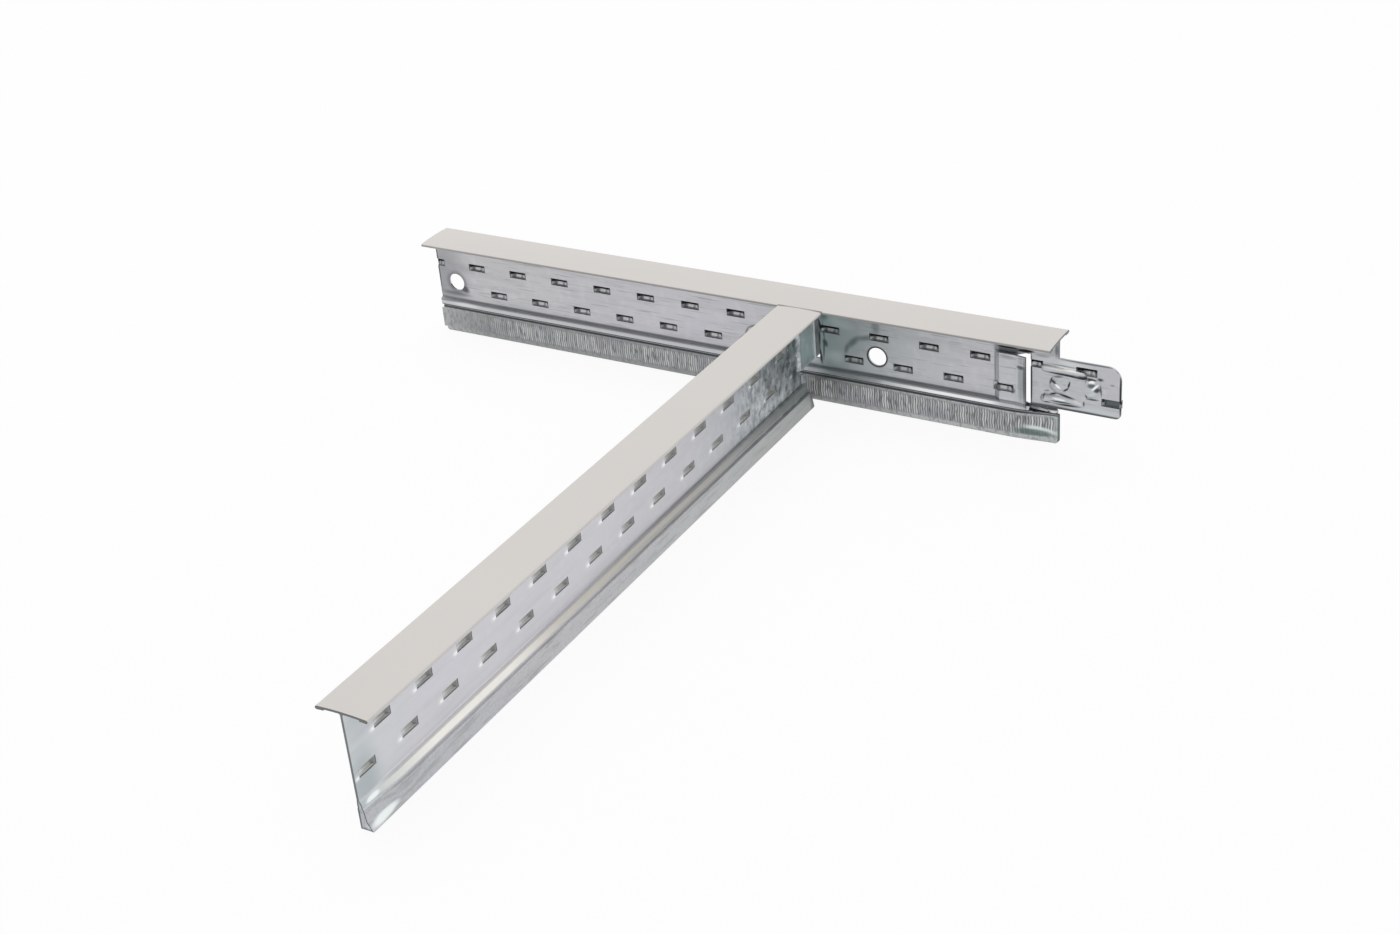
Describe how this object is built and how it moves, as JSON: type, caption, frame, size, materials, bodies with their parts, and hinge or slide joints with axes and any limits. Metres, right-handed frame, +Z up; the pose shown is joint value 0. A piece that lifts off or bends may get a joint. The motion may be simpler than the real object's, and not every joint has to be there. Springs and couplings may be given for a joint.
{
  "type": "ceiling grid tee",
  "caption": "Short samples of T-section ceiling grid, face up: a main tee with a stamped coupling end and a cross tee clipped at right angles into its web.",
  "frame": {"origin": "on the floor where the centre planes of the two webs cross, under the main tee's bulb", "axes": "+X along the main tee towards its coupling tab, -Y along the cross tee to its cut end, +Z up from the bulbs to the painted faces"},
  "size_m": [0.2251, 0.23, 0.032],
  "materials": {
    "galvanised_strip": "hot-dip galvanised, satin with a faint spangle, knurled bulb",
    "painted_face": "coil-coated off-white, satin"
  },
  "bodies": {
    "root": {"main_tee_web": "galvanised_strip", "main_tee_cap": "painted_face", "cross_tee_web": "galvanised_strip", "cross_tee_cap": "painted_face"}
  },
  "joints": []
}
